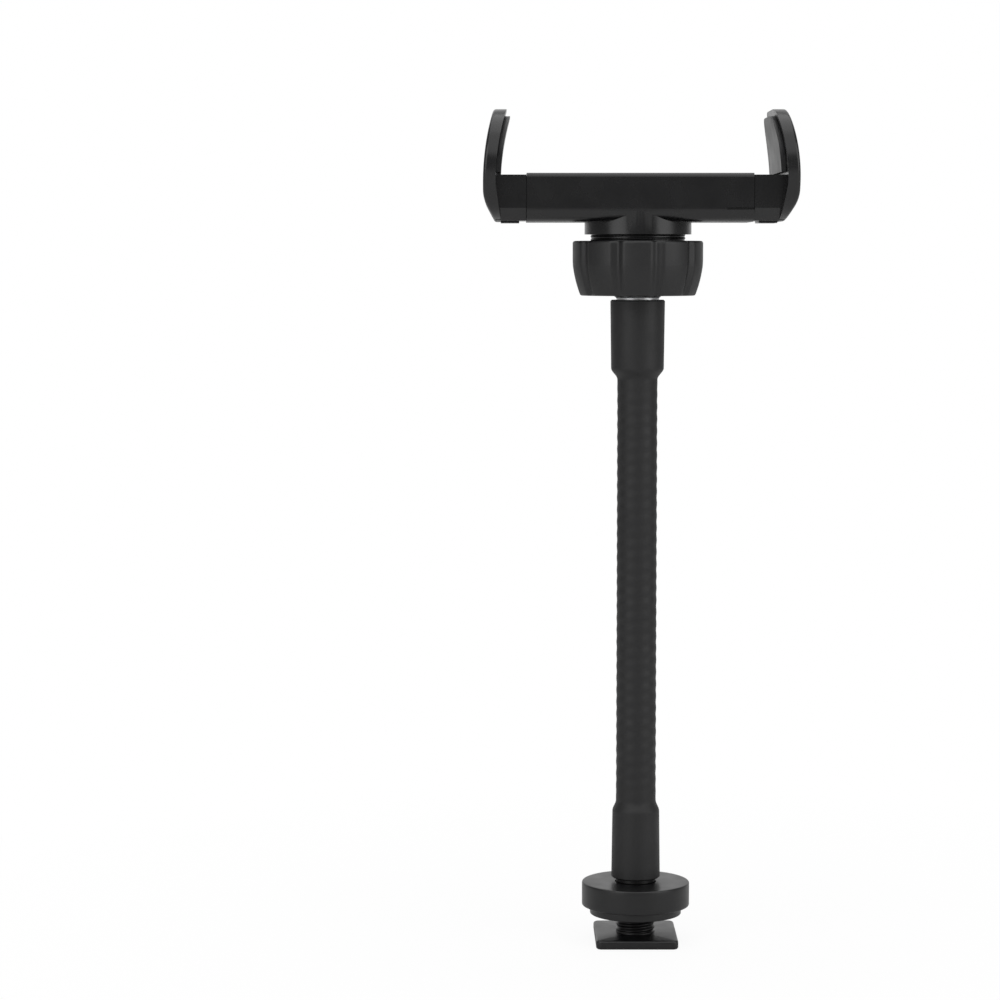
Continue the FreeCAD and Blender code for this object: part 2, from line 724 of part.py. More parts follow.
def all_nodes():
    """Every piece by name."""
    nodes = {
        "shoe_foot": shoe_foot(),
        "pressure_washer": pressure_washer(),
        "lock_wheel": lock_wheel(),
        "lower_fitting": lower_fitting(),
        "sleeve_base": sleeve_base(),
        "sleeve_top": sleeve_top(),
        "core_base": core_span(0),
        "core_top": core_span(BEND_COUNT),
        "upper_fitting": upper_fitting(),
        "ball_stud": ball_stud(),
        "socket_pad": socket_pad(),
        "ball_nut": ball_nut(),
        "rear_shell": rear_shell(),
        "front_shell": front_shell(),
        "shell_screws": shell_screws(),
        "front_pad": front_pad(),
    }
    for index in range(1, BEND_COUNT):
        nodes["sleeve_link_%d" % index] = sleeve_link(index - 1)
        nodes["core_link_%d" % index] = core_span(index)
    for name, shape in (("jaw", jaw_right()), ("jaw_pad", jaw_pad_right()), ("spring", spring_right())):
        nodes[name + "_right"] = shape
        nodes[name + "_left"] = half_turn(shape)
    return nodes


os.makedirs("parts", exist_ok=True)
for name, shape in all_nodes().items():
    if not shape.isValid():
        raise ValueError(name + " is not a valid shape")
    shape.exportStep("parts/%s.step" % name)
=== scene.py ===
"""Looks of a gooseneck phone holder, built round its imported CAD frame. All lengths are metres."""

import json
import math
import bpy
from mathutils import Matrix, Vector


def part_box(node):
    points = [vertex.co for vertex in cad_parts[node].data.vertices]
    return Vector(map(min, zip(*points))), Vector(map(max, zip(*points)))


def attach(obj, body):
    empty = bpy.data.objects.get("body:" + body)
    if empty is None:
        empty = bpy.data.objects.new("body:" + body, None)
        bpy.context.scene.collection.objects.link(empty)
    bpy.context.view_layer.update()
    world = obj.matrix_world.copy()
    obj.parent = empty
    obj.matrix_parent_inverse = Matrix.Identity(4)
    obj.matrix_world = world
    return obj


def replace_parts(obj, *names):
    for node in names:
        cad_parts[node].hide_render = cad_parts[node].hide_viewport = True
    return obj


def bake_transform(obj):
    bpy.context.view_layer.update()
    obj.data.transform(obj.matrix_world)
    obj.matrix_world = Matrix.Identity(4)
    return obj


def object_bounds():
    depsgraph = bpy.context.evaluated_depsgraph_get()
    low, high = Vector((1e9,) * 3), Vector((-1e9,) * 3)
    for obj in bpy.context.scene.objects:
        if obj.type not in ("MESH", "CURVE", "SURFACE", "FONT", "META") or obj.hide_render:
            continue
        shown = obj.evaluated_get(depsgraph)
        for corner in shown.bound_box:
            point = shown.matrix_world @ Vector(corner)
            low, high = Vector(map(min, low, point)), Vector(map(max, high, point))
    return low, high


bl_info = {
    "name": "Gooseneck phone holder",
    "version": (1, 0, 0),
    "blender": (4, 5, 0),
    "location": "View3D > Sidebar > Phone holder",
    "description": "Sleeve, ball nut, foot, springs, finishes and stage of a gooseneck phone holder",
    "category": "Add Mesh",
}

import bmesh
import bpy
import numpy as np
from bpy.props import FloatProperty, FloatVectorProperty, IntProperty, PointerProperty

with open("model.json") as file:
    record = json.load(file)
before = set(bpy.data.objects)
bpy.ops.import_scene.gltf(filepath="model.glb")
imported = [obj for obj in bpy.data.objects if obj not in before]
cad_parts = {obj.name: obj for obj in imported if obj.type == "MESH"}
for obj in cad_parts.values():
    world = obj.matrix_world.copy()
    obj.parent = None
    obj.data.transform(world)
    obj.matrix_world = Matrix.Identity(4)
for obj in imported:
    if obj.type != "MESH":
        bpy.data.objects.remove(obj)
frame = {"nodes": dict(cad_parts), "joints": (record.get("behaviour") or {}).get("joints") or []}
CAD_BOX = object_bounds()
MM = 0.001
FULL_TURN = 2 * math.pi

# Fineness of the meshes: columns round a piece, rows up it and steps along a wire
NECK_COLUMNS = 72
WHEEL_COLUMNS = 144
LOBE_COLUMNS = 36
PLATE_COLUMNS = 96
WIRE_COLUMNS = 8
SLEEVE_ROW = 0.28 * MM
THREAD_ROWS = 14
PLATE_EDGE_ROWS = 7
FLANK_POINTS = 12
COIL_STEPS = 20
EYE_STEPS = 40

# Points closer than this are one point, and edges sharper than this stay sharp
MERGE_DISTANCE = 1e-7
SMOOTH_ANGLE = math.radians(40)

# Soft edges of the CAD nodes
WELD_DISTANCE = 1e-6
BEVEL_ANGLE = math.radians(35)
BEVEL_SEGMENTS = 2

# Patches of shade on every finish, and the sockets of a Mix node that mixes colours
PATCH_SIZE = 6 * MM
MIX_FACTOR, MIX_FIRST, MIX_SECOND, MIX_RESULT = 0, 6, 7, 2


def linear(hex_colour):
    """Linear red, green and blue of an sRGB hex colour."""
    shares = [int(hex_colour[i:i + 2], 16) / 255 for i in (1, 3, 5)]
    return [s / 12.92 if s <= 0.04045 else ((s + 0.055) / 1.055) ** 2.4 for s in shares]


def node_top(name):
    """Height of the top of a CAD node."""
    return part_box(name)[1].z


def node_bottom(name):
    """Height of the underside of a CAD node."""
    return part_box(name)[0].z


def node_radius(name):
    """Largest distance of a turned CAD node from the neck's axis."""
    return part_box(name)[1].x


NECK_HINGES = sorted(
    (joint for joint in frame["joints"] if joint["name"].startswith("neck_")),
    key=lambda joint: joint["pos_m"][2],
)
HINGE_HEIGHTS = [joint["pos_m"][2] for joint in NECK_HINGES]
HINGE_PITCH = HINGE_HEIGHTS[1] - HINGE_HEIGHTS[0]


class SleeveSettings(bpy.types.PropertyGroup):
    """Sizes and colour of the tubing that is shrunk over the neck."""

    wall: FloatProperty(
        name="Wall", description="Thickness of the tubing", default=0.95 * MM, unit="LENGTH"
    )
    ripple_height: FloatProperty(
        name="Ripple height",
        description="How far the wound core shows through, from valley to ridge",
        default=0.09 * MM,
        unit="LENGTH",
    )
    ripples_per_span: FloatProperty(
        name="Ripples per span", description="Turns of the core in one span of the neck", default=3.5
    )
    flare: FloatProperty(
        name="Flare",
        description="How far each cuff widens towards its cut end",
        default=0.2 * MM,
        unit="LENGTH",
    )
    end_radius: FloatProperty(
        name="End radius", description="Rounding of the cut ends", default=0.3 * MM, unit="LENGTH"
    )
    colour: FloatVectorProperty(
        name="Colour", description="Colour of the tubing", subtype="COLOR", default=linear("#111112")
    )


class NutSettings(bpy.types.PropertyGroup):
    """Sizes and colour of the lobed nut under the clamp."""

    lobes: IntProperty(name="Lobes", description="Number of grip lobes", default=10, min=3)
    lobe_turn: FloatProperty(
        name="Lobe turn",
        description="How far the front lobe is turned about the axis",
        subtype="ANGLE",
        default=math.radians(-3),
    )
    groove_width: FloatProperty(
        name="Groove width", description="Width of a grip groove", default=3.4 * MM, unit="LENGTH"
    )
    groove_depth: FloatProperty(
        name="Groove depth", description="Depth of a grip groove", default=0.7 * MM, unit="LENGTH"
    )
    edge_radius: FloatProperty(
        name="Edge radius", description="Rounding of the outer edges", default=0.55 * MM, unit="LENGTH"
    )
    bottom_radius: FloatProperty(
        name="Bottom radius", description="Radius of the lower face", default=12.9 * MM, unit="LENGTH"
    )
    waist_bulge: FloatProperty(
        name="Bulge", description="How far the flank bows out", default=0.75 * MM, unit="LENGTH"
    )
    thread_radius: FloatProperty(
        name="Thread radius",
        description="Radius of the threaded bore",
        default=10.65 * MM,
        unit="LENGTH",
    )
    hole_radius: FloatProperty(
        name="Hole radius",
        description="Radius of the hole round the ball",
        default=7.7 * MM,
        unit="LENGTH",
    )
    recess_radius: FloatProperty(
        name="Recess radius",
        description="Radius of the lower recess",
        default=10.3 * MM,
        unit="LENGTH",
    )
    lip_rise: FloatProperty(
        name="Lip rise",
        description="Height of the hole's edge over the underside",
        default=2.54 * MM,
        unit="LENGTH",
    )
    seat_rise: FloatProperty(
        name="Seat rise",
        description="Height of the ball's conical seat",
        default=5.1 * MM,
        unit="LENGTH",
    )
    colour: FloatVectorProperty(
        name="Colour", description="Colour of the nut", subtype="COLOR", default=linear("#0d0d0e")
    )


class FootSettings(bpy.types.PropertyGroup):
    """Sizes and colour of the shoe foot, its wheel and its washer."""

    plate_thickness: FloatProperty(
        name="Plate thickness",
        description="Thickness of the shoe plate",
        default=2 * MM,
        unit="LENGTH",
    )
    plate_corner: FloatProperty(
        name="Plate corner",
        description="Radius of the plate's corners",
        default=1.3 * MM,
        unit="LENGTH",
    )
    plate_edge: FloatProperty(
        name="Plate edge",
        description="Rounding of the plate's edges",
        default=0.5 * MM,
        unit="LENGTH",
    )
    stud_radius: FloatProperty(
        name="Stud radius",
        description="Outer radius of the stud's thread",
        default=4.45 * MM,
        unit="LENGTH",
    )
    spigot_radius: FloatProperty(
        name="Spigot radius",
        description="Radius of the spigot in the neck",
        default=3.1 * MM,
        unit="LENGTH",
    )
    thread_pitch: FloatProperty(
        name="Thread pitch",
        description="Rise of the thread per turn",
        default=1.25 * MM,
        unit="LENGTH",
    )
    thread_depth: FloatProperty(
        name="Thread depth", description="Depth of the thread", default=0.35 * MM, unit="LENGTH"
    )
    bore_radius: FloatProperty(
        name="Bore radius", description="Bore of wheel and washer", default=4.65 * MM, unit="LENGTH"
    )
    wheel_edge: FloatProperty(
        name="Wheel edge",
        description="Rounding of the wheel's edges",
        default=0.35 * MM,
        unit="LENGTH",
    )
    colour: FloatVectorProperty(
        name="Colour",
        description="Colour of the black metal",
        subtype="COLOR",
        default=linear("#0c0c0d"),
    )


class ClampSettings(bpy.types.PropertyGroup):
    """Sizes and colours of the clamp."""

    soft_edge: FloatProperty(
        name="Soft edge",
        description="Rounding of the mouldings' sharp edges",
        default=0.18 * MM,
        unit="LENGTH",
    )
    thread_pitch: FloatProperty(
        name="Thread pitch",
        description="Rise of the cup's thread per turn",
        default=0.75 * MM,
        unit="LENGTH",
    )
    thread_depth: FloatProperty(
        name="Thread depth",
        description="Depth of the cup's thread",
        default=0.22 * MM,
        unit="LENGTH",
    )
    thread_play: FloatProperty(
        name="Thread play",
        description="Space between the cup's thread and the nut",
        default=0.03 * MM,
        unit="LENGTH",
    )
    thread_rise: FloatProperty(
        name="Thread rise",
        description="How far the cup's thread runs over the nut",
        default=1.4 * MM,
        unit="LENGTH",
    )
    coil_radius: FloatProperty(
        name="Coil radius",
        description="Radius of a spring at its wire's middle",
        default=1.36 * MM,
        unit="LENGTH",
    )
    wire_radius: FloatProperty(
        name="Wire radius", description="Radius of a spring's wire", default=0.27 * MM, unit="LENGTH"
    )
    eye_radius: FloatProperty(
        name="Eye radius",
        description="Radius of a spring's eye at its wire's middle",
        default=1.3 * MM,
        unit="LENGTH",
    )
    colour: FloatVectorProperty(
        name="Colour",
        description="Colour of the mouldings",
        subtype="COLOR",
        default=linear("#0c0c0d"),
    )
    pad_colour: FloatVectorProperty(
        name="Pad colour",
        description="Colour of the rubber pads",
        subtype="COLOR",
        default=linear("#1c1c1d"),
    )


class StageSettings(bpy.types.PropertyGroup):
    """Camera and light of the studio."""

    camera_place: FloatVectorProperty(
        name="Camera place",
        description="Where the camera stands",
        subtype="TRANSLATION",
        default=(-30.87 * MM, -664.0 * MM, 154.96 * MM),
    )
    camera_tilt: FloatProperty(
        name="Camera tilt",
        description="How far the camera looks down",
        subtype="ANGLE",
        default=math.radians(4.684),
    )
    focal_length: FloatProperty(
        name="Focal length", description="In millimetres, on a 36 mm wide sensor", default=106.38
    )
    softbox_light: FloatProperty(
        name="Softbox light", description="Mean power of the two side panels in watts", default=2.8
    )
    front_light: FloatProperty(
        name="Front light", description="Power of the panel over the camera in watts", default=5.0
    )
    top_light: FloatProperty(
        name="Top light", description="Power of the upper panel in watts", default=4.4
    )
    back_white: FloatProperty(
        name="Back white", description="Brightness of the backdrop in reflections", default=0.82
    )
    front_grey: FloatProperty(
        name="Front grey", description="Brightness of the room behind the camera", default=0.27
    )


class HolderSettings(bpy.types.PropertyGroup):
    """All settings of the phone holder."""

    sleeve: PointerProperty(type=SleeveSettings)
    nut: PointerProperty(type=NutSettings)
    foot: PointerProperty(type=FootSettings)
    clamp: PointerProperty(type=ClampSettings)
    stage: PointerProperty(type=StageSettings)


def smoothstep(value):
    """3 t^2 - 2 t^3 of a value that is first held between 0 and 1."""
    share = np.clip(value, 0.0, 1.0)
    return share * share * (3.0 - 2.0 * share)


def rounded(corners, radii, steps):
    """Closed outline with rounded corners.

    At each corner an arc touches both sides: its centre lies on the bisector at radius / sin(half
    angle), and its points turn evenly from one touching point to the other. At a corner that hardly
    turns, the least length and sweep keep the divisions finite.
    """
    least_length = 1e-9
    least_sweep = 1e-6
    corners = np.array(corners, float)
    radii = np.array(radii, float)
    before = np.roll(corners, 1, axis=0) - corners
    after = np.roll(corners, -1, axis=0) - corners
    before /= np.linalg.norm(before, axis=1)[:, None]
    after /= np.linalg.norm(after, axis=1)[:, None]
    half = np.arccos(np.clip((before * after).sum(axis=1), -1, 1)) / 2
    halfway = before + after
    bisector = halfway / np.maximum(np.linalg.norm(halfway, axis=1), least_length)[:, None]
    centre = corners + bisector * (radii / np.sin(half))[:, None]
    reach = (radii / np.tan(half))[:, None]
    first = corners + before * reach - centre
    last = corners + after * reach - centre
    sweep = np.maximum(math.pi - 2 * half, least_sweep)[:, None, None]
    share = np.linspace(0, 1, steps)[None, :, None]
    arc = first[:, None] * np.sin((1 - share) * sweep) + last[:, None] * np.sin(share * sweep)
    outline = (centre[:, None] + arc / np.sin(sweep)).reshape(-1, 2)
    is_new = np.linalg.norm(outline - np.roll(outline, 1, axis=0), axis=1) > MERGE_DISTANCE
    return outline[is_new]


def subdivided(outline, longest):
    """Closed outline with extra points on its long sides, none longer than the given length."""
    ends = np.roll(outline, -1, axis=0)
    counts = np.maximum(1, np.ceil(np.linalg.norm(ends - outline, axis=1) / longest)).astype(int)
    side = np.repeat(np.arange(len(outline)), counts)
    step = np.arange(counts.sum()) - np.repeat(np.cumsum(counts) - counts, counts)
    share = (step / counts[side])[:, None]
    return outline[side] * (1 - share) + ends[side] * share


def round_angles(columns):
    """Evenly spaced angles of one turn, the last a step short of the first."""
    return np.linspace(0, FULL_TURN, columns, endpoint=False)


def polar_grid(radius, height, angle):
    """Grid of points at a radius, a height and an angle about the neck's axis."""
    places = np.broadcast_arrays(radius * np.cos(angle), radius * np.sin(angle), height)
    return np.stack(places, axis=-1)


def lathe(outline, columns):
    """Grid of an outline of (radius, height) points turned about the neck's axis."""
    return polar_grid(outline[:, :1], outline[:, 1:], round_angles(columns))


def closed_wall(outer, inner, height, angle):
    """Grid of a wall about the neck's axis: up along its outer radius, down along its inner one."""
    heights = np.concatenate([height, height[::-1]])
    return polar_grid(np.concatenate([outer, inner[::-1]]), heights, angle)


def tube(path, across, up, radius):
    """Grid of a round wire: circles of one radius in the plane of two unit vectors along a path.

    The first and last circle have no radius, which closes both ends.
    """
    angle = round_angles(WIRE_COLUMNS)[None, :, None]
    circles = across[:, None] * np.cos(angle) + up[:, None] * np.sin(angle)
    size = np.full(len(path), radius)
    size[[0, -1]] = 0
    return path[:, None] + circles * size[:, None, None]


def grid_quads(rows, columns, rows_close):
    """Corner numbers of a grid's quads. Its columns always close on themselves."""
    number = np.arange(rows * columns).reshape(rows, columns)
    low = number if rows_close else number[:-1]
    high = np.roll(number, -1, axis=0) if rows_close else number[1:]
    corners = [low, np.roll(low, -1, axis=1), np.roll(high, -1, axis=1), high]
    return np.stack(corners, axis=-1).reshape(-1, 4)


def new_piece(name, grids, material, rows_close=False):
    """Piece made of one or more closed grids, smooth but for edges sharper than an angle.

    Faces point outwards: where the volume, a sum of the triple products of the quads' halves, comes
    out negative, the quads are turned round. Rows that shrink to a point are merged.
    """
    points = []
    quads = []
    count = 0
    for grid in grids:
        points.append(grid.reshape(-1, 3))
        quads.append(grid_quads(*grid.shape[:2], rows_close) + count)
        count += len(points[-1])
    points = np.concatenate(points)
    quads = np.concatenate(quads)
    a, b, c, d = points[quads].transpose(1, 0, 2)
    volume = (a * (np.cross(b, c) + np.cross(c, d))).sum()
    if volume < 0:
        quads = quads[:, ::-1]
    mesh = bpy.data.meshes.new(name)
    mesh.from_pydata(points.tolist(), [], quads.tolist())
    merged = bmesh.new()
    merged.from_mesh(mesh)
    bmesh.ops.remove_doubles(merged, verts=merged.verts, dist=MERGE_DISTANCE)
    merged.to_mesh(mesh)
    merged.free()
    mesh.shade_smooth()
    mesh.set_sharp_from_angle(angle=SMOOTH_ANGLE)
    mesh.materials.append(material)
    piece = bpy.data.objects.new(name, mesh)
    bpy.context.scene.collection.objects.link(piece)
    return piece


def add_node(tree, kind, values=None, links=None, **settings):
    """Add a node with its own settings, its inputs' values and its inputs' links."""
    node = tree.nodes.new(kind)
    for key, value in settings.items():
        setattr(node, key, value)
    for key, value in (values or {}).items():
        node.inputs[key].default_value = value
    for key, source in (links or {}).items():
        tree.links.new(source, node.inputs[key])
    return node


def empty_tree(owner):
    """Node tree of a material or a world, with nothing in it."""
    owner.use_nodes = True
    owner.node_tree.nodes.clear()
    return owner.node_tree


def new_finish(name, colour, paler, roughness, grain, grain_height, rings=None, **shader):
    """Material with patches of two shades and two roughnesses and a fine bump.

    The patches and the grain are noises on Object coordinates, with a scale of one over their size.
    Turned metal also has rings about the neck's axis. Grain and rings are finer on the real surfaces,
    and are drawn coarser here so that they show.
    """
    made = bpy.data.materials.get(name)
    if made:
        return made
    made = bpy.data.materials.new(name)
    tree = empty_tree(made)
    place = add_node(tree, "ShaderNodeTexCoord").outputs["Object"]
    patches = add_node(
        tree, "ShaderNodeTexNoise", {"Scale": 1 / PATCH_SIZE, "Detail": 3.0}, {"Vector": place}
    ).outputs["Fac"]
    shade = add_node(
        tree,
        "ShaderNodeMix",
        {MIX_FIRST: (*colour, 1), MIX_SECOND: (*[paler * part for part in colour], 1)},
        {MIX_FACTOR: patches},
        data_type="RGBA",
    ).outputs[MIX_RESULT]
    rough = add_node(
        tree,
        "ShaderNodeMapRange",
        {"From Min": 0.3, "From Max": 0.7, "To Min": roughness[0], "To Max": roughness[1]},
        {"Value": patches},
    ).outputs["Result"]
    relief = add_node(
        tree, "ShaderNodeTexNoise", {"Scale": 1 / grain, "Detail": 2.0}, {"Vector": place}
    ).outputs["Fac"]
    depth = {"Strength": 1.0, "Distance": grain_height}
    normal = add_node(tree, "ShaderNodeBump", depth, {"Height": relief}).outputs["Normal"]
    if rings:
        # The wave's phase is 20 times its scale times the place, in radians.
        turned = add_node(
            tree,
            "ShaderNodeTexWave",
            {"Scale": FULL_TURN / 20 / rings},
            {"Vector": place},
            wave_type="RINGS",
            rings_direction="Z",
        ).outputs["Fac"]
        over = {"Height": turned, "Normal": normal}
        normal = add_node(tree, "ShaderNodeBump", depth, over).outputs["Normal"]
    surface = add_node(
        tree,
        "ShaderNodeBsdfPrincipled",
        shader,
        {"Base Color": shade, "Roughness": rough, "Normal": normal},
    )
    add_node(tree, "ShaderNodeOutputMaterial", links={"Surface": surface.outputs["BSDF"]})
    return made


def shrink_tubing(settings):
    """Polyolefin tubing, shrunk by heat: dull black with a soft sheen and a slightly drawn skin."""
    return new_finish(
        "shrink_tubing",
        settings.sleeve.colour,
        paler=1.25,
        roughness=(0.46, 0.6),
        grain=0.35 * MM,
        grain_height=0.006 * MM,
        IOR=1.5,
    )


def moulded_abs(settings):
    """ABS from a spark-eroded mould: near black, satin, with an even fine grain."""
    return new_finish(
        "moulded_abs",
        settings.clamp.colour,
        paler=1.2,
        roughness=(0.22, 0.3),
        grain=0.28 * MM,
        grain_height=0.004 * MM,
        IOR=1.53,
    )


def moulded_nylon(settings):
    """Glass-filled nylon: a little greyer and duller than the ABS beside it."""
    return new_finish(
        "moulded_nylon",
        settings.nut.colour,
        paler=1.25,
        roughness=(0.4, 0.5),
        grain=0.3 * MM,
        grain_height=0.006 * MM,
        IOR=1.53,
    )


def black_anodised(settings):
    """Anodised aluminium, turned before it was dyed: black, half glossy, with fine rings."""
    return new_finish(
        "black_anodised",
        settings.foot.colour,
        paler=1.2,
        roughness=(0.3, 0.38),
        grain=0.25 * MM,
        grain_height=0.002 * MM,
        rings=0.8 * MM,
        IOR=1.5,
    )


def nitrile_rubber(settings):
    """Soft nitrile rubber: dark grey with an open grain, dull face on and pale at a low angle."""
    return new_finish(
        "nitrile_rubber",
        settings.clamp.pad_colour,
        paler=1.3,
        roughness=(0.34, 0.42),
        grain=0.4 * MM,
        grain_height=0.006 * MM,
        IOR=1.5,
    )


def satin_chrome():
    """Satin chrome plate on a turned steel ball: bright, very even, with soft reflections."""
    return new_finish(
        "satin_chrome",
        linear("#e6e7e8"),
        paler=1.0,
        roughness=(0.34, 0.42),
        grain=0.6 * MM,
        grain_height=0.0008 * MM,
        Metallic=1.0,
    )


def drawn_steel():
    """Bare drawn steel: mid grey and softly reflecting."""
    return new_finish(
        "drawn_steel",
        linear("#b9babc"),
        paler=0.9,
        roughness=(0.28, 0.4),
        grain=0.2 * MM,
        grain_height=0.002 * MM,
        Metallic=1.0,
    )


def white_card():
    """Matt card: to the camera white but for the shadow near the foot, to all else a pale grey.

    The shadow fades out between 40 and 200 mm from the neck's axis.
    """
    card = bpy.data.materials.new("white_card")
    tree = empty_tree(card)
    white = add_node(tree, "ShaderNodeBsdfDiffuse", {"Color": (*linear("#f8f8f8"), 1)})
    grey = add_node(tree, "ShaderNodeBsdfDiffuse", {"Color": (*linear("#d8d8d8"), 1)})
    glow = add_node(tree, "ShaderNodeEmission", {"Color": (1, 1, 1, 1), "Strength": 1.0})
    place = add_node(tree, "ShaderNodeTexCoord").outputs["Object"]
    reach = add_node(tree, "ShaderNodeVectorMath", links={0: place}, operation="LENGTH")
    share = add_node(
        tree,
        "ShaderNodeMapRange",
        {"From Min": 40 * MM, "From Max": 200 * MM, "To Min": 0.92, "To Max": 1.0},
        {"Value": reach.outputs["Value"]},
    )
    seen = add_node(
        tree,
        "ShaderNodeMixShader",
        links={0: share.outputs["Result"], 1: white.outputs["BSDF"], 2: glow.outputs["Emission"]},
    )
    path = add_node(tree, "ShaderNodeLightPath")
    both = add_node(
        tree,
        "ShaderNodeMixShader",
        links={0: path.outputs["Is Camera Ray"], 1: grey.outputs["BSDF"], 2: seen.outputs["Shader"]},
    )
    add_node(tree, "ShaderNodeOutputMaterial", links={"Surface": both.outputs["Shader"]})
    return card


def dress(names, material, soft_edge=0.0):
    """Give CAD nodes a finish and, if asked, soften their sharp edges.

    Their loose triangles are welded first, so that the bevel finds the edges between them.
    """
    for name in names:
        node = frame["nodes"][name]
        node.data.materials.clear()
        node.data.materials.append(material)
        if soft_edge:
            node.modifiers.new("joined", "WELD").merge_threshold = WELD_DISTANCE
            bevel = node.modifiers.new("soft_edges", "BEVEL")
            bevel.width = soft_edge
            bevel.segments = BEVEL_SEGMENTS
            bevel.limit_method = "ANGLE"
            bevel.angle_limit = BEVEL_ANGLE
            node.modifiers.new("even_shading", "WEIGHTED_NORMAL").keep_sharp = True


def thread_groove(height, angle, pitch):
    """Share of a thread's depth, 0 on its crests and 1 in its roots.

    A triangle wave of height over pitch minus the turn, so it climbs to the right. It is stretched
    about its middle and cut off, which leaves narrow flats on the crests and in the roots.
    """
    stretch = 1.3
    wave = np.abs((height / pitch - angle / FULL_TURN) % 1 * 2 - 1)
    return np.clip((wave - 0.5) * stretch + 0.5, 0, 1)


def sleeve_radius(sleeve, height, angle):
    """Outer radius of the sleeve at a height and an angle about the axis.

    The neck's radius plus smooth steps to the two cuffs, a straight flare of each cuff towards its cut
    end, a quarter circle that rounds each cut end, and a cosine ripple that climbs once round per
    ripple, only along the wound core.
    """
    neck = node_radius("sleeve_link_1")
    lower_top = node_top("lower_fitting")
    upper_bottom = node_bottom("upper_fitting")
    low_end = node_bottom("sleeve_base")
    high_end = node_top("sleeve_top")
    flex_bottom = HINGE_HEIGHTS[0] - HINGE_PITCH / 2
    flex_top = HINGE_HEIGHTS[-1] + HINGE_PITCH / 2
    low_cuff = node_radius("sleeve_base") - sleeve.flare
    high_cuff = node_radius("sleeve_top") - sleeve.flare
    in_low_cuff = 1 - smoothstep((height - lower_top) / (flex_bottom - lower_top))
    in_high_cuff = smoothstep((height - flex_top) / (upper_bottom - flex_top))
    radius = neck + (low_cuff - neck) * in_low_cuff + (high_cuff - neck) * in_high_cuff
    radius = radius + sleeve.flare * np.clip((lower_top - height) / (lower_top - low_end), 0, 1)
    radius = radius + sleeve.flare * np.clip((height - upper_bottom) / (high_end - upper_bottom), 0, 1)
    for cut_end in (low_end, high_end):
        near = np.clip(1 - np.abs(height - cut_end) / sleeve.end_radius, 0, 1)
        radius = radius - sleeve.end_radius * (1 - np.sqrt(1 - near ** 2))
    ripples = (height - HINGE_HEIGHTS[0]) / HINGE_PITCH * sleeve.ripples_per_span
    wave = np.cos(FULL_TURN * ripples - angle)
    above = smoothstep((height - lower_top) / HINGE_PITCH)
    below = smoothstep((upper_bottom - height) / HINGE_PITCH)
    return radius + sleeve.ripple_height / 2 * (wave - 1) * above * below


class HOLDER_OT_neck_sleeve(bpy.types.Operator):
    """Tubing over the neck, in one piece per hinge"""

    bl_idname = "holder.neck_sleeve"
    bl_label = "Neck sleeve"

    def execute(self, context):
        settings = context.scene.holder
        nodes = ["sleeve_base"] + ["sleeve_link_%d" % i for i in range(1, len(NECK_HINGES))]
        ends = [node_bottom("sleeve_base")]
        ends += [height + HINGE_PITCH / 2 for height in HINGE_HEIGHTS[:-1]]
        ends += [node_top("sleeve_top")]
        for index, joint in enumerate(NECK_HINGES):
            piece = self.span(settings, "neck_sleeve_%d" % (index + 1), ends[index], ends[index + 1])
            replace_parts(piece, nodes[index])
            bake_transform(piece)
        # The last piece reaches up to the cut end, so it stands for two nodes.
        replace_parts(piece, "sleeve_top")
        return {"FINISHED"}

    def span(self, settings, name, low, high):
        """Closed tube wall of one thickness between two heights."""
        height = np.linspace(low, high, int((high - low) / SLEEVE_ROW) + 2)[:, None]
        angle = round_angles(NECK_COLUMNS)
        outer = sleeve_radius(settings.sleeve, height, angle)
        wall = closed_wall(outer, outer - settings.sleeve.wall, height, angle)
        return new_piece(name, [wall], shrink_tubing(settings), rows_close=True)


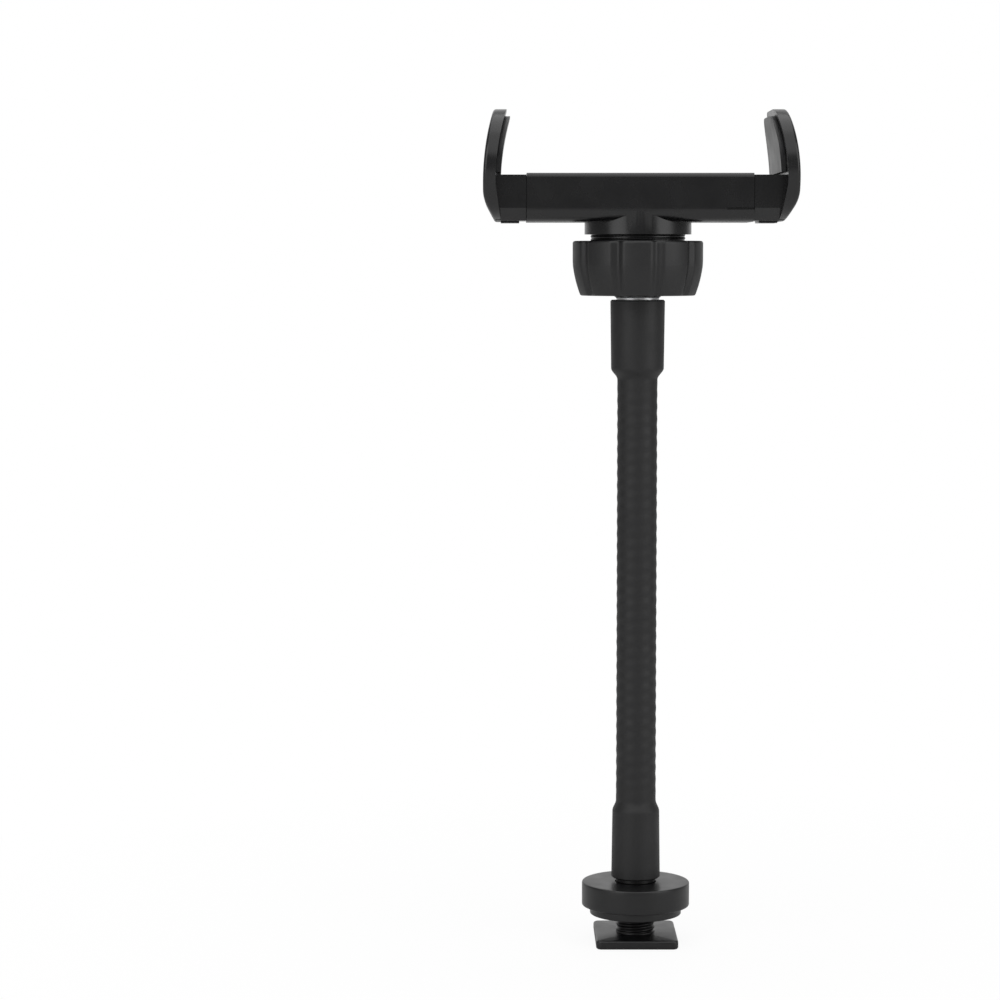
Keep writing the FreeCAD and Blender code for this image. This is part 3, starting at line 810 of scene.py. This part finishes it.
class HOLDER_OT_ball_nut(bpy.types.Operator):
    """Lobed nut that closes the socket round the ball"""

    bl_idname = "holder.ball_nut"
    bl_label = "Ball nut"

    def execute(self, context):
        settings = context.scene.holder
        nut = settings.nut
        rim = node_radius("ball_nut")
        outline = self.outline(nut, rim)
        angle = round_angles(LOBE_COLUMNS * nut.lobes)
        grid = lathe(outline, len(angle))
        grid[..., :2] *= self.grooves(nut, rim, outline[:, :1], angle)[..., None]
        piece = new_piece("lobed_nut", [grid], moulded_nylon(settings), rows_close=True)
        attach(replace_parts(piece, "ball_nut"), "ball_nut")
        return {"FINISHED"}

    def outline(self, nut, rim):
        """Section of the nut as (radius, height) points.

        Down the threaded bore and the ball's seat, out along the recess, and up the flank, which is a
        straight taper plus a parabola for its bulge.
        """
        bore_edge = 0.2 * MM
        flank_edge = 0.05 * MM
        low = node_bottom("ball_nut")
        high = node_top("ball_nut")
        lip = low + nut.lip_rise
        bore = [
            (nut.thread_radius, high),
            (nut.thread_radius, lip + nut.seat_rise),
            (nut.hole_radius, lip),
            (nut.recess_radius, low),
        ]
        share = np.linspace(0, 1, FLANK_POINTS)
        radius = nut.bottom_radius + (rim - nut.bottom_radius) * share
        radius = np.minimum(radius + nut.waist_bulge * 4 * share * (1 - share), rim)
        flank = np.stack([radius, low + (high - low) * share], axis=-1)
        radii = [bore_edge] * len(bore)
        radii += [nut.edge_radius] + [flank_edge] * (FLANK_POINTS - 2) + [nut.edge_radius]
        return subdivided(rounded([*bore, *flank], radii, steps=5), longest=0.5 * MM)

    def grooves(self, nut, rim, radius, angle):
        """Share of each radius that the grip grooves leave.

        A groove's depth is a smooth step of the distance from its middle, and it fades out along the
        underside towards the recess.
        """
        pitch = FULL_TURN / nut.lobes
        away = np.abs((angle + math.pi / 2 - nut.lobe_turn) % pitch - pitch / 2) * rim
        depth = nut.groove_depth * (1 - smoothstep(away / (nut.groove_width / 2)))
        fade_start = nut.recess_radius + 0.4 * MM
        fade_length = (rim - nut.groove_depth - fade_start) / 0.8
        return 1 - depth * smoothstep((radius - fade_start) / fade_length) / radius


class HOLDER_OT_cup_thread(bpy.types.Operator):
    """Thread on the cup of the clamp, which shows between the pedestal and the nut"""

    bl_idname = "holder.cup_thread"
    bl_label = "Cup thread"

    def execute(self, context):
        settings = context.scene.holder
        wall = self.wall(settings.clamp, settings.nut.thread_radius)
        plastic = moulded_abs(settings)
        piece = new_piece("cup_thread", [wall], plastic, rows_close=True)
        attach(piece, "clamp")
        return {"FINISHED"}

    def wall(self, clamp, bore):
        """Ring sunk into the cup, whose outer radius is its crest less a share of the thread's depth.

        It starts one pitch over the cup's lower end.
        """
        low = node_bottom("rear_shell") + clamp.thread_pitch
        high = node_top("ball_nut") + clamp.thread_rise
        rows = int((high - low) / clamp.thread_pitch * THREAD_ROWS)
        height = np.linspace(low, high, rows)[:, None]
        angle = round_angles(WHEEL_COLUMNS)
        crest = bore - clamp.thread_play
        outer = crest - clamp.thread_depth * thread_groove(height, angle, clamp.thread_pitch)
        inner = np.full_like(outer, crest - 2 * clamp.thread_depth)
        return closed_wall(outer, inner, height, angle)


class HOLDER_OT_shoe_foot(bpy.types.Operator):
    """Shoe plate, threaded stud, washer and lock wheel"""

    bl_idname = "holder.shoe_foot"
    bl_label = "Shoe foot and wheel"

    def execute(self, context):
        settings = context.scene.holder
        metal = black_anodised(settings)
        foot = settings.foot
        washer_edge = 0.15 * MM
        plate = new_piece("shoe_plate", [self.plate(foot)], metal)
        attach(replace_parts(plate, "shoe_foot"), "base")
        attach(new_piece("threaded_stud", [self.stud(foot)], metal), "base")
        for node, body, edge in (
            ("pressure_washer", "washer_carrier", washer_edge),
            ("lock_wheel", "lock_wheel", foot.wheel_edge),
        ):
            ring = self.ring(foot, node, edge)
            piece = new_piece(node + "_turned", [ring], metal, rows_close=True)
            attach(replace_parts(piece, node), body)
        return {"FINISHED"}

    def ring(self, foot, node, edge):
        """Flat ring round the stud: a rectangle with rounded corners, turned about the axis."""
        bore_edge = 0.1 * MM
        bore = foot.bore_radius
        low, high, rim = node_bottom(node), node_top(node), node_radius(node)
        corners = [(bore, low), (rim, low), (rim, high), (bore, high)]
        outline = rounded(corners, [bore_edge, edge, edge, bore_edge], steps=6)
        return lathe(subdivided(outline, longest=1 * MM), WHEEL_COLUMNS)

    def plate(self, foot):
        """Plate of rounded rectangles, one per row, drawn in along a quarter circle at both edges.

        Each rectangle is its four corners' centres plus a radius in every direction. The directions
        stand half a step off the axes, so that each belongs to one corner.
        """
        low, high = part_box("shoe_foot")
        turn = np.linspace(0, math.pi / 2, PLATE_EDGE_ROWS)
        inset = foot.plate_edge * (1 - np.sin(turn))
        rise = foot.plate_edge * (1 - np.cos(turn))
        inset = np.concatenate([inset, inset[::-1]])
        height = np.concatenate([low.z + rise, low.z + foot.plate_thickness - rise[::-1]])
        angle = round_angles(PLATE_COLUMNS) + FULL_TURN / PLATE_COLUMNS / 2
        direction = np.stack([np.cos(angle), np.sin(angle)], axis=-1)
        centres = np.sign(direction) * [high.x - foot.plate_corner, high.y - foot.plate_corner]
        ring = centres[None] + direction[None] * (foot.plate_corner - inset)[:, None, None]
        ring = np.concatenate([ring[:1] * 0, ring, ring[-1:] * 0])
        height = np.concatenate([height[:1], height, height[-1:]])
        heights = np.broadcast_to(height[:, None, None], (*ring.shape[:2], 1))
        return np.concatenate([ring, heights], axis=-1)

    def stud(self, foot):
        """Threaded stud and spigot: rows of a radius at a height, drawn to a point at both ends.

        The thread starts inside the plate, fades in over it and fades out under the shoulder.
        """
        sink = 0.3 * MM
        fade_in = 0.5 * MM
        fade_out = 0.8 * MM
        low = node_bottom("shoe_foot") + foot.plate_thickness
        shoulder = node_bottom("sleeve_base")
        top = node_top("shoe_foot")
        height = np.arange(low - sink, shoulder, foot.thread_pitch / THREAD_ROWS)[:, None]
        angle = round_angles(NECK_COLUMNS)
        groove = thread_groove(height, angle, foot.thread_pitch)
        fade = smoothstep((height - low) / fade_in) * smoothstep((shoulder - height) / fade_out - 1)
        level = np.ones((1, NECK_COLUMNS))
        rows = [
            (0 * level, height[:1]),
            (foot.stud_radius - foot.thread_depth * groove * fade, height),
            (foot.stud_radius * level, shoulder),
            (foot.spigot_radius * level, shoulder),
            (foot.spigot_radius * level, top),
            (0 * level, top),
        ]
        radius = np.concatenate([row for row, _ in rows])
        heights = np.concatenate([np.broadcast_to(place, row.shape) for row, place in rows])
        return polar_grid(radius, heights, angle)


class HOLDER_OT_springs(bpy.types.Operator):
    """Close-wound springs that draw the jaws together"""

    bl_idname = "holder.springs"
    bl_label = "Jaw springs"

    def execute(self, context):
        clamp = context.scene.holder.clamp
        for side, sign in (("left", -1), ("right", 1)):
            low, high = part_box("spring_" + side)
            middle = (low + high) / 2
            eye = (high.y - low.y) / 2
            post, peg = (low.x + eye, high.x - eye) if sign > 0 else (high.x - eye, low.x + eye)
            grids = [self.coil(clamp, post, peg, middle)]
            grids += [self.eye(clamp, place, middle) for place in (post, peg)]
            piece = new_piece("jaw_spring_" + side, grids, drawn_steel())
            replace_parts(piece, "spring_" + side)
            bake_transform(piece)
        return {"FINISHED"}

    def coil(self, clamp, post, peg, middle):
        """Helix along X between the two eyes, a little over one wire's width per turn."""
        sign = math.copysign(1, peg - post)
        reach = clamp.eye_radius + clamp.wire_radius
        length = abs(peg - post) - 2 * reach
        turns = length / (2.05 * clamp.wire_radius)
        share = np.linspace(0, 1, int(turns * COIL_STEPS))
        angle = FULL_TURN * turns * share
        radial = np.stack([np.zeros_like(angle), np.cos(angle), np.sin(angle)], axis=-1)
        along = np.broadcast_to([sign, 0.0, 0.0], radial.shape)
        start = np.array([post + sign * reach, middle.y, middle.z])
        path = start + along * (length * share)[:, None] + radial * clamp.coil_radius
        return tube(path, radial, along, clamp.wire_radius)

    def eye(self, clamp, place, middle):
        """Level ring round a post or a peg, a little over one turn so that its ends overlap."""
        angle = np.linspace(0, FULL_TURN * 1.02, EYE_STEPS)
        radial = np.stack([np.cos(angle), np.sin(angle), np.zeros_like(angle)], axis=-1)
        upright = np.broadcast_to([0.0, 0.0, 1.0], radial.shape)
        path = np.array([place, middle.y, middle.z]) + radial * clamp.eye_radius
        return tube(path, radial, upright, clamp.wire_radius)


class HOLDER_OT_finishes(bpy.types.Operator):
    """Finishes and soft edges of the CAD nodes that stay in view"""

    bl_idname = "holder.finishes"
    bl_label = "Finishes"

    def execute(self, context):
        settings = context.scene.holder
        edge = settings.clamp.soft_edge
        dress(["rear_shell", "front_shell", "jaw_left", "jaw_right"], moulded_abs(settings), edge)
        dress(["jaw_pad_left", "jaw_pad_right", "front_pad"], nitrile_rubber(settings), edge)
        dress(["socket_pad"], nitrile_rubber(settings))
        dress(["ball_stud"], satin_chrome())
        steel = [name for name in frame["nodes"] if name.startswith("core_")]
        dress(steel + ["lower_fitting", "upper_fitting", "shell_screws"], drawn_steel())
        return {"FINISHED"}


class HOLDER_OT_stage(bpy.types.Operator):
    """White floor, white surroundings, four soft panels and the camera"""

    bl_idname = "holder.stage"
    bl_label = "Stage"

    def execute(self, context):
        stage = context.scene.holder.stage
        self.floor(context)
        self.surroundings(context, stage)
        for name, place, size, power in (
            ("panel_left", (-0.7, -0.69, 0.42), (0.7, 0.9), 0.96 * stage.softbox_light),
            ("panel_right", (0.82, -0.54, 0.42), (0.7, 0.9), 1.04 * stage.softbox_light),
            ("panel_front", (0.0, -0.74, 0.98), (1.5, 1.1), stage.front_light),
            ("panel_top", (0.0, 0.15, 1.05), (1.1, 0.9), stage.top_light),
        ):
            self.softbox(context, name, place, size, power)
        self.camera(context, stage)
        context.scene.view_settings.view_transform = "Standard"
        return {"FINISHED"}

    def floor(self, context):
        """Square of card just under the foot."""
        half = 3.0
        level = -0.05 * MM
        square = ((-half, -half), (half, -half), (half, half), (-half, half))
        mesh = bpy.data.meshes.new("floor")
        mesh.from_pydata([(x, y, level) for x, y in square], [], [(0, 1, 2, 3)])
        mesh.materials.append(white_card())
        floor = bpy.data.objects.new("floor", mesh)
        context.scene.collection.objects.link(floor)

    def surroundings(self, context, stage):
        """White room that darkens towards the side of the camera, plain white to the camera itself."""
        world = bpy.data.worlds.new("studio")
        tree = empty_tree(world)
        direction = add_node(tree, "ShaderNodeTexCoord").outputs["Generated"]
        split = add_node(tree, "ShaderNodeSeparateXYZ", links={"Vector": direction})
        room = add_node(
            tree,
            "ShaderNodeMapRange",
            {"From Min": 0.5, "From Max": 0.93, "To Min": stage.front_grey, "To Max": stage.back_white},
            {"Value": split.outputs["Y"]},
            interpolation_type="SMOOTHSTEP",
        )
        path = add_node(tree, "ShaderNodeLightPath")
        bright = add_node(
            tree,
            "ShaderNodeMath",
            links={0: room.outputs["Result"], 1: path.outputs["Is Camera Ray"]},
            operation="MAXIMUM",
        )
        back = add_node(
            tree,
            "ShaderNodeBackground",
            {"Color": (1, 1, 1, 1)},
            {"Strength": bright.outputs["Value"]},
        )
        add_node(tree, "ShaderNodeOutputWorld", links={"Surface": back.outputs["Background"]})
        context.scene.world = world

    def softbox(self, context, name, place, size, power):
        """Soft rectangular light that faces the middle of the object."""
        light = bpy.data.lights.new(name, "AREA")
        light.shape = "RECTANGLE"
        light.size, light.size_y = size
        light.energy = power
        lamp = bpy.data.objects.new(name, light)
        lamp.location = place
        middle = (CAD_BOX[0] + CAD_BOX[1]) / 2
        lamp.rotation_euler = (lamp.location - middle).to_track_quat("Z", "Y").to_euler()
        context.scene.collection.objects.link(lamp)

    def camera(self, context, stage):
        """Camera that looks along +Y and a little down."""
        camera = bpy.data.cameras.new("camera")
        camera.sensor_width = 36
        camera.lens = stage.focal_length
        viewer = bpy.data.objects.new("camera", camera)
        viewer.location = stage.camera_place
        viewer.rotation_euler = (math.pi / 2 - stage.camera_tilt, 0, 0)
        context.scene.collection.objects.link(viewer)
        context.scene.camera = viewer


class HOLDER_PT_panel(bpy.types.Panel):
    """Sidebar list of the pieces and their settings"""

    bl_label = "Phone holder"
    bl_idname = "HOLDER_PT_panel"
    bl_space_type = "VIEW_3D"
    bl_region_type = "UI"
    bl_category = "Phone holder"

    def draw(self, context):
        for operator in OPERATORS:
            self.layout.operator(operator.bl_idname)
        settings = context.scene.holder
        for group in (settings.sleeve, settings.nut, settings.foot, settings.clamp, settings.stage):
            box = self.layout.box()
            for name in group.__annotations__:
                box.prop(group, name)


GROUPS = (SleeveSettings, NutSettings, FootSettings, ClampSettings, StageSettings, HolderSettings)
OPERATORS = (
    HOLDER_OT_stage,
    HOLDER_OT_finishes,
    HOLDER_OT_neck_sleeve,
    HOLDER_OT_ball_nut,
    HOLDER_OT_cup_thread,
    HOLDER_OT_shoe_foot,
    HOLDER_OT_springs,
)
CLASSES = (*GROUPS, *OPERATORS, HOLDER_PT_panel)


def register():
    """Register every class and hang the settings on the scene."""
    for made in CLASSES:
        bpy.utils.register_class(made)
    bpy.types.Scene.holder = PointerProperty(type=HolderSettings)


def unregister():
    """Undo what register does, in the opposite order."""
    del bpy.types.Scene.holder
    for made in reversed(CLASSES):
        bpy.utils.unregister_class(made)


def main():
    """Register, then build every piece in order."""
    register()
    for operator in OPERATORS:
        group, name = operator.bl_idname.split(".")
        getattr(getattr(bpy.ops, group), name)()


if __name__ == "__main__":
    main()
